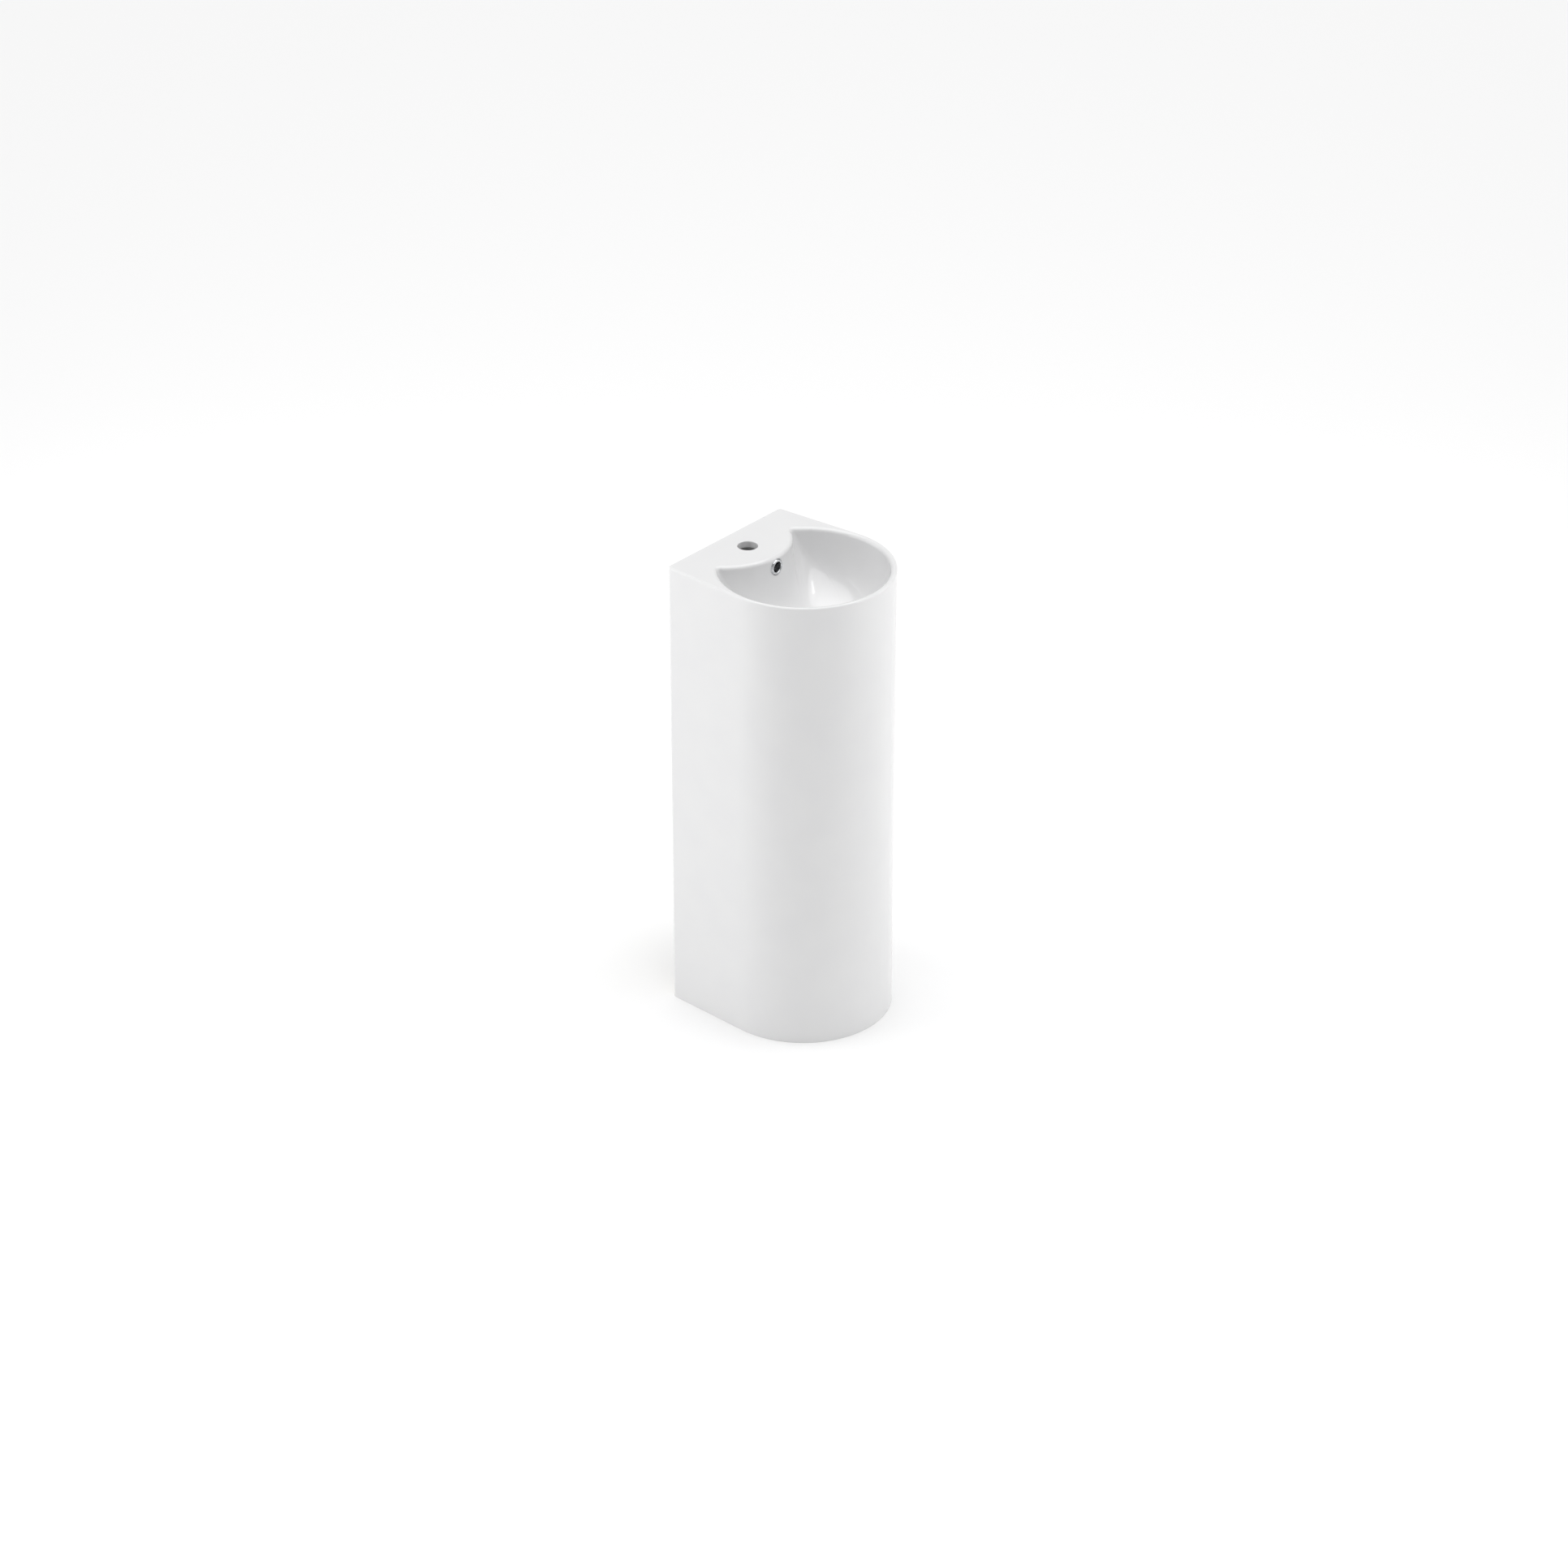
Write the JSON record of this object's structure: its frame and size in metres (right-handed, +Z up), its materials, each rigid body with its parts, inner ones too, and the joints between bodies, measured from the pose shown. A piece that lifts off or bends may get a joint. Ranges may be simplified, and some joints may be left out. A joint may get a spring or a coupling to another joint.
{
  "type": "pedestal sink",
  "caption": "Compact floor-standing pedestal sink: round-fronted column and D-shaped bowl fired as one, with click-clack waste and hidden bottle trap.",
  "frame": {"origin": "on the floor, in the back plane that stands against the wall, on the plane of symmetry", "axes": "+Z up; +Y out of the back, into the wall; the user stands on the -Y side; +X to the user's right"},
  "size_m": [0.316, 0.335, 0.85],
  "materials": {
    "china": "gloss white glaze",
    "chrome": "polished chrome plate on brass",
    "brass": "turned, bare",
    "rubber": "moulded EPDM",
    "nylon": "natural nylon",
    "acetal": "moulded acetal",
    "spring_steel": "drawn stainless wire",
    "polypropylene": "moulded white polypropylene"
  },
  "bodies": {
    "sink": {"basin": "china", "pedestal": "china", "overflow_ring": "chrome", "waste_body": "chrome", "waste_flange_seal": "rubber", "waste_cone_gasket": "rubber", "waste_slip_washer": "nylon", "waste_back_nut": "brass", "click_housing": "brass", "click_bush": "acetal", "click_spring": "spring_steel", "trap_inlet_nut": "polypropylene", "trap_inlet_washer": "rubber", "trap_dip_tube": "polypropylene", "trap_body": "polypropylene", "trap_body_nut": "polypropylene", "trap_body_washer": "rubber", "trap_cup": "polypropylene", "trap_cup_seal": "rubber", "trap_outlet_nut": "polypropylene", "trap_outlet_washer": "rubber", "trap_outlet_pipe": "polypropylene"},
    "plug": {"plug_cap": "chrome", "plug_seal": "rubber", "plug_post": "brass", "click_rotor": "acetal"}
  },
  "joints": [
    {"name": "plug_press", "type": "slide", "parent": "sink", "child": "plug", "axis": [0, 0, 1], "range_m": [-0.009, 0], "stiffness_N_per_m": 300, "springref_m": 0.01, "deforming": ["click_spring"]}
  ]
}
